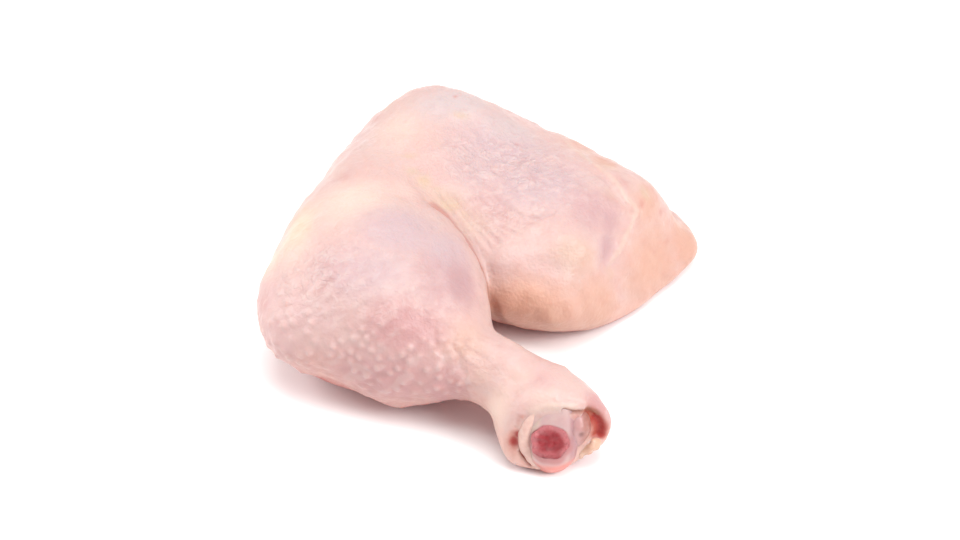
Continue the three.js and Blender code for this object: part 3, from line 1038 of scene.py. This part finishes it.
def seen(red, green, blue, light=STUDIO_LIGHT):
    """The colour of a surface that the studio's light shows as this, on a scale of 255."""
    shares = [value / 255 for value in (red, green, blue)]
    return [s / 12.92 / light if s <= 0.04045 else ((s + 0.055) / 1.055) ** 2.4 / light
            for s in shares] + [1]


SCATTER_REACH = (1, 0.4, 0.25)  # red light goes the furthest in raw skin and meat
SCATTER_DEPTH = 3 * MM


class Surface:
    """A material under construction: nodes on Object coordinates around one shader."""

    def __init__(self, name, roughness, subsurface=0.0, specular=0.5):
        self.material = bpy.data.materials.new(name)
        self.material.use_nodes = True
        self.tree = self.material.node_tree
        self.shader = self.tree.nodes["Principled BSDF"]
        self.coordinates = self.node("ShaderNodeTexCoord", {})["Object"]
        looks = {"Roughness": roughness, "Specular IOR Level": specular,
                 "Subsurface Weight": subsurface, "Subsurface Radius": SCATTER_REACH,
                 "Subsurface Scale": SCATTER_DEPTH}
        for socket, value in looks.items():
            self.shader.inputs[socket].default_value = value

    def node(self, kind, inputs, **settings):
        return add_node(self.tree, kind, inputs, **settings)

    def mask(self, name):
        return self.node("ShaderNodeAttribute", {}, attribute_name=name)["Fac"]

    def noise(self, wavelength, detail=3.0, distortion=0.0):
        """Noise from 0 to 1 with the given wavelength in millimetres."""
        inputs = {"Scale": 1 / (wavelength * MM), "Detail": detail, "Distortion": distortion}
        return self.node("ShaderNodeTexNoise", {"Vector": self.coordinates, **inputs})[0]

    def cells(self, wavelength):
        """Soft cells of about the given width in millimetres."""
        inputs = {"Vector": self.coordinates, "Scale": 1 / (wavelength * MM)}
        return self.node("ShaderNodeTexVoronoi", inputs, feature="SMOOTH_F1")["Distance"]

    def calculate(self, operation, first, second=0.0):
        return self.node("ShaderNodeMath", {0: first, 1: second}, operation=operation)[0]

    def ramp(self, value, low, high, bottom=0.0, top=1.0):
        """A smooth step of the value, from bottom at low to top at high."""
        inputs = {"Value": value, "From Min": low, "From Max": high, "To Min": bottom, "To Max": top}
        return self.node("ShaderNodeMapRange", inputs, interpolation_type="SMOOTHSTEP")["Result"]

    def mix(self, share, first, second):
        """Two colours mixed, by the share of the second."""
        return self.node("ShaderNodeMix", {0: share, 6: first, 7: second}, data_type="RGBA")[2]

    def tone(self, color, name, tint, medium, uneven=0.3, most=1.0):
        """Lays a tint over the colour where its mask is strong, with an uneven edge."""
        shift = self.calculate("MULTIPLY", self.calculate("SUBTRACT", medium, 0.5), uneven)
        share = self.ramp(self.calculate("ADD", self.mask(name), shift), 0.05, 0.95, 0, most)
        return self.mix(share, color, seen(*tint))

    def bump(self, height, depth, below=None):
        """Relief of the given depth in millimetres, on top of another bump."""
        inputs = {"Distance": depth * MM, "Height": height}
        if below:
            inputs["Normal"] = below
        return self.node("ShaderNodeBump", inputs)[0]

    def finish(self, color, normal=None, roughness=None):
        for name, value in (("Base Color", color), ("Normal", normal), ("Roughness", roughness)):
            if value is not None:
                join(self.tree, value, self.shader.inputs[name])
        return self.material


def skin_material():
    skin = Surface("raw skin", roughness=0.42, subsurface=0.25, specular=0.4)
    broad, medium, fine = skin.noise(14), skin.noise(3.2), skin.noise(0.8)
    color = skin.mix(skin.ramp(broad, 0.3, 0.7), seen(255, 210, 203), seen(256, 218, 210))
    # Painted light on the sides and painted shade on the red underside, by the skin's turn.
    for name, tone in PAINTED_LIGHT_AND_RAW_TONES.items():
        color = skin.tone(color, name, tone["tint"], medium)
    for name, tone in TONES.items():
        most = tone.get("most", 1.0)
        color = skin.tone(color, name, tone["tint"], medium, tone.get("uneven", 0.3), most)
    mottle = skin.ramp(medium, 0.4, 0.8, 0, 0.12)
    color = skin.mix(mottle, color, seen(228, 170, 164))
    # Painted shade in the creases and painted light on the furrows' ridges.
    color = skin.mix(skin.ramp(skin.mask("creases"), 0.1, 1, 0, 0.35), color, seen(228, 174, 170))
    color = skin.mix(skin.ramp(skin.mask("ridges"), 0.1, 1, 0, 0.35), color, seen(256, 222, 216))
    # Paler bump tops: partly the follicles' own colour, partly painted highlight.
    for name, bumps in BUMPS.items():
        start, full, most = bumps["shows"]
        share = skin.ramp(skin.mask(name + " swelling"), start, full, 0, most)
        color = skin.mix(share, color, seen(*bumps["tint"]))
    crepe = skin.mask("crepe")
    crinkle = skin.noise(2.2, detail=2.0, distortion=1.2)
    # Painted light and shade of the crinkles: paler where their bump rises, darker where it dips.
    pale = skin.calculate("MULTIPLY", skin.ramp(crinkle, 0.5, 0.7, 0, 0.65), crepe)
    color = skin.mix(pale, color, seen(258, 230, 226))
    dark = skin.calculate("MULTIPLY", skin.ramp(crinkle, 0.48, 0.3, 0, 0.22), crepe)
    color = skin.mix(dark, color, seen(232, 184, 184))
    normal = skin.bump(medium, 0.25)
    crinkled = skin.calculate("MULTIPLY", skin.calculate("SUBTRACT", crinkle, 0.5), crepe)
    normal = skin.bump(crinkled, 0.6, normal)
    normal = skin.bump(fine, 0.08, normal)
    normal = skin.bump(skin.cells(1.1), 0.1, normal)
    return skin.finish(color, normal, skin.ramp(medium, 0.3, 0.7, 0.36, 0.5))


def cartilage_material():
    cap = Surface("cartilage", roughness=0.3, subsurface=0.3)
    medium = cap.noise(2.5)
    color = cap.mix(cap.ramp(medium, 0.3, 0.7), seen(242, 198, 196), seen(248, 210, 205))
    color = cap.tone(color, "cream", (256, 222, 208), medium)
    color = cap.tone(color, "mauve", (216, 154, 158), medium, most=0.9)
    # Painted shade: rosier and darker towards the cap's bottom.
    color = cap.tone(color, "rosy", (272, 164, 150), medium)
    color = cap.tone(color, "stained", (226, 146, 146), medium, uneven=0.2, most=0.85)
    color = cap.tone(color, "bloody", (222, 128, 132), medium, uneven=0.2)
    return cap.finish(color, cap.bump(medium, 0.15))


def marrow_material():
    marrow = Surface("marrow", roughness=0.35, subsurface=0.1, specular=0.4)
    medium, fine = marrow.noise(2.4), marrow.noise(0.7)
    color = marrow.mix(marrow.ramp(medium, 0.35, 0.65), seen(172, 42, 50), seen(190, 60, 68))
    color = marrow.tone(color, "edge", (230, 132, 136), medium, uneven=0.4)
    color = marrow.mix(marrow.ramp(fine, 0.5, 0.8, 0, 0.5), color, seen(146, 34, 44))
    return marrow.finish(color, marrow.bump(fine, 0.2))


def meat_material():
    meat = Surface("pink meat", roughness=0.35, subsurface=0.2)
    medium = meat.noise(2)
    color = meat.mix(meat.ramp(medium, 0.3, 0.7), seen(200, 132, 118), seen(216, 150, 138))
    color = meat.tone(color, "lilac", (234, 178, 176), medium)
    color = meat.tone(color, "dot", (160, 104, 94), medium, uneven=0.15, most=0.8)
    return meat.finish(color, meat.bump(medium, 0.2))


def plain_tissue(name, light, dark):
    tissue = Surface(name, roughness=0.35, subsurface=0.2)
    medium = tissue.noise(2)
    color = tissue.mix(tissue.ramp(medium, 0.3, 0.7), seen(*light), seen(*dark))
    return tissue.finish(color, tissue.bump(medium, 0.2))


# ---- Studio ----

LOOK_AT = (0, 0, 20)
CAMERA_ELEVATION = 42
CAMERA_DISTANCE = 650
LENS = 86.53
ROOM_LIGHT = 0.58
SOFTBOXES = [
    dict(name="overhead", location=(0, -0.05, 1.3), size=0.8, power=9.8),
    dict(name="right", location=(0.85, -0.45, 0.85), size=0.7, power=13.5),
    dict(name="left", location=(-0.95, 0.2, 0.7), size=0.7, power=8.5),
]


def add_camera():
    data = bpy.data.cameras.new("camera")
    data.lens = LENS
    data.sensor_width = 36
    data.clip_start = 0.01
    camera = bpy.data.objects.new("camera", data)
    turn = math.radians(CAMERA_ELEVATION)
    back = np.array((0, -math.cos(turn), math.sin(turn)))
    camera.location = (LOOK_AT + SHIFT + back * CAMERA_DISTANCE) * MM
    camera.rotation_euler = (math.pi / 2 - turn, 0, 0)
    bpy.context.scene.collection.objects.link(camera)
    bpy.context.scene.camera = camera


def add_softbox(name, location, size, power):
    """A square lamp that faces the leg."""
    data = bpy.data.lights.new(name, "AREA")
    data.shape = "SQUARE"
    data.size = size
    data.energy = power
    lamp = bpy.data.objects.new(name, data)
    lamp.location = location
    lamp.rotation_euler = (-Vector(location)).to_track_quat("-Z", "Y").to_euler()
    bpy.context.scene.collection.objects.link(lamp)


def add_studio():
    world = bpy.data.worlds.new("studio")
    bpy.context.scene.world = world
    world.use_nodes = True
    background = world.node_tree.nodes["Background"]
    background.inputs["Color"].default_value = (1, 1, 1, 1)
    background.inputs["Strength"].default_value = ROOM_LIGHT
    for box in SOFTBOXES:
        add_softbox(**box)
    bpy.ops.mesh.primitive_plane_add(size=6)
    floor = bpy.context.object
    floor.name = "floor"
    paper = Surface("white paper", roughness=0.8)
    paper.finish(seen(250, 249, 249, light=1))
    floor.data.materials.append(paper.material)
    view = bpy.context.scene.view_settings
    view.view_transform = "Standard"
    view.look = "None"


def build():
    skin_piece(skin_material())
    bone_piece(cartilage_material())
    marrow_piece(marrow_material())
    tendon_piece(plain_tissue("tendon", (276, 233, 218), (262, 211, 197)))
    cut_meat_piece(meat_material())
    cut_fat_piece(plain_tissue("cut fat", (270, 222, 196), (256, 202, 172)))
    add_camera()
    add_studio()


build()
